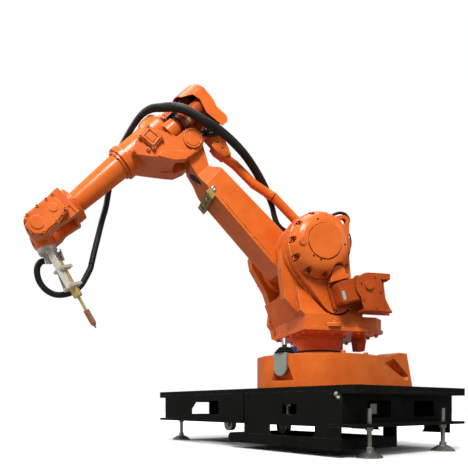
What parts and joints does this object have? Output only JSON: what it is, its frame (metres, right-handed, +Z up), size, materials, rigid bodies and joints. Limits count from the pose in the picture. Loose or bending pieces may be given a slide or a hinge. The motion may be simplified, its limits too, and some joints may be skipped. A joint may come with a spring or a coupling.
{
  "type": "robot arm",
  "caption": "Articulated industrial robot arm with a parallel rod, a bent straight-barrel torch and a hose package, bolted to a low steel skid with levelling feet.",
  "frame": {"origin": "the point on the floor under axis 1, in the plane of the four levelling pads", "axes": "+X the way the robot's foot faces, +Y its left along the skid's long side, +Z up; in the rest pose the arm is turned 23 degrees from +X towards -Y"},
  "size_m": [1.6307, 1.4348, 1.6046],
  "materials": {
    "orange_paint": "faded gloss enamel, chipped and stained at edges",
    "black_steel": "worn satin black paint",
    "bare_steel": "dull machined steel",
    "aluminium": "satin, lightly stained",
    "motor_orange": "baked enamel over the motor bodies, rubbed and stained at edges",
    "bronze": "dull, oily",
    "torch_brass": "satin, heat-stained",
    "nozzle_copper": "dull copper with spatter",
    "black_rubber": "matte"
  },
  "bodies": {
    "base": {"deck_plate": "black_steel", "end_beams": "black_steel", "side_plates": "black_steel", "cross_members": "black_steel", "low_tray": "black_steel", "rollers": "bare_steel", "levelling_feet": "bare_steel", "robot_foot": "orange_paint", "axis1_seal": "black_rubber", "boot_bracket": "bare_steel", "cable_boot": "black_rubber"},
    "turret": {"turret_frame": "orange_paint", "axis2_case": "orange_paint", "axis3_case": "orange_paint", "axis2_cover": "orange_paint", "axis3_cover": "orange_paint", "axis2_motor": "motor_orange", "axis3_motor": "motor_orange", "axis1_motor": "motor_orange", "stop_lug": "orange_paint", "hose_turret": "black_rubber"},
    "lower_arm": {"lower_arm": "orange_paint", "arm_buffer": "bronze", "hose_elbow": "black_rubber"},
    "crank": {"parallel_crank": "orange_paint"},
    "rod": {"parallel_rod": "orange_paint"},
    "upper_arm": {"upper_housing": "orange_paint", "elbow_pin": "orange_paint", "drive_cover": "orange_paint", "drive_motor_near": "motor_orange", "drive_motor_mid": "motor_orange", "drive_motor_far": "motor_orange", "motor_hood": "orange_paint", "hose_forearm": "black_rubber"},
    "forearm": {"forearm_tube": "orange_paint", "wrist_housing": "orange_paint", "wrist_covers": "orange_paint", "hose_wrist": "black_rubber"},
    "wrist": {"tilt_drum": "orange_paint"},
    "tool": {"tool_flange": "bare_steel", "tool_bracket": "aluminium", "torch_clamps": "aluminium", "torch_body": "torch_brass", "gas_nozzle": "nozzle_copper", "hose_tool": "black_rubber"}
  },
  "joints": [
    {"name": "axis_1", "type": "hinge", "parent": "base", "child": "turret", "pos_m": [0, 0, 0.272], "axis": [0, 0, 1], "range_deg": [-157, 203]},
    {"name": "axis_2", "type": "hinge", "parent": "turret", "child": "lower_arm", "pos_m": [0.09205, -0.03907, 0.887], "axis": [0.3907, 0.9205, 0], "range_deg": [-104.6, 20.4], "deforming": ["hose_turret"]},
    {"name": "axis_3", "type": "hinge", "parent": "lower_arm", "child": "upper_arm", "pos_m": [0.57508, -0.2441, 1.35782], "axis": [-0.3907, -0.9205, 0], "range_deg": [-20.4, 58], "deforming": ["hose_elbow"]},
    {"name": "crank_turn", "type": "hinge", "parent": "lower_arm", "child": "crank", "pos_m": [0.09205, -0.03907, 0.887], "axis": [-0.3907, -0.9205, 0], "range_deg": [-20.4, 58]},
    {"name": "rod_turn", "type": "hinge", "parent": "crank", "child": "rod", "pos_m": [0.01668, -0.00708, 0.96775], "axis": [-0.3907, -0.9205, 0], "range_deg": [-58, 20.4]},
    {"name": "axis_4", "type": "hinge", "parent": "upper_arm", "child": "forearm", "pos_m": [0.66233, -0.28114, 1.45395], "axis": [0.6554, -0.2782, -0.7022], "range_deg": [-200, 200], "deforming": ["hose_forearm"]},
    {"name": "axis_5", "type": "hinge", "parent": "forearm", "child": "wrist", "pos_m": [1.15718, -0.49119, 0.92382], "axis": [0.3907, 0.9205, 0], "range_deg": [-185.7, 54.3], "deforming": ["hose_wrist"]},
    {"name": "axis_6", "type": "hinge", "parent": "wrist", "child": "tool", "pos_m": [1.13003, -0.47967, 0.8441], "axis": [-0.3194, 0.1356, -0.9379], "range_deg": [-440, 360], "deforming": ["hose_tool"]}
  ],
  "couplings": [
    {"joint": "crank_turn", "follows": "axis_3", "ratio": 1},
    {"joint": "rod_turn", "follows": "axis_3", "ratio": -1}
  ]
}
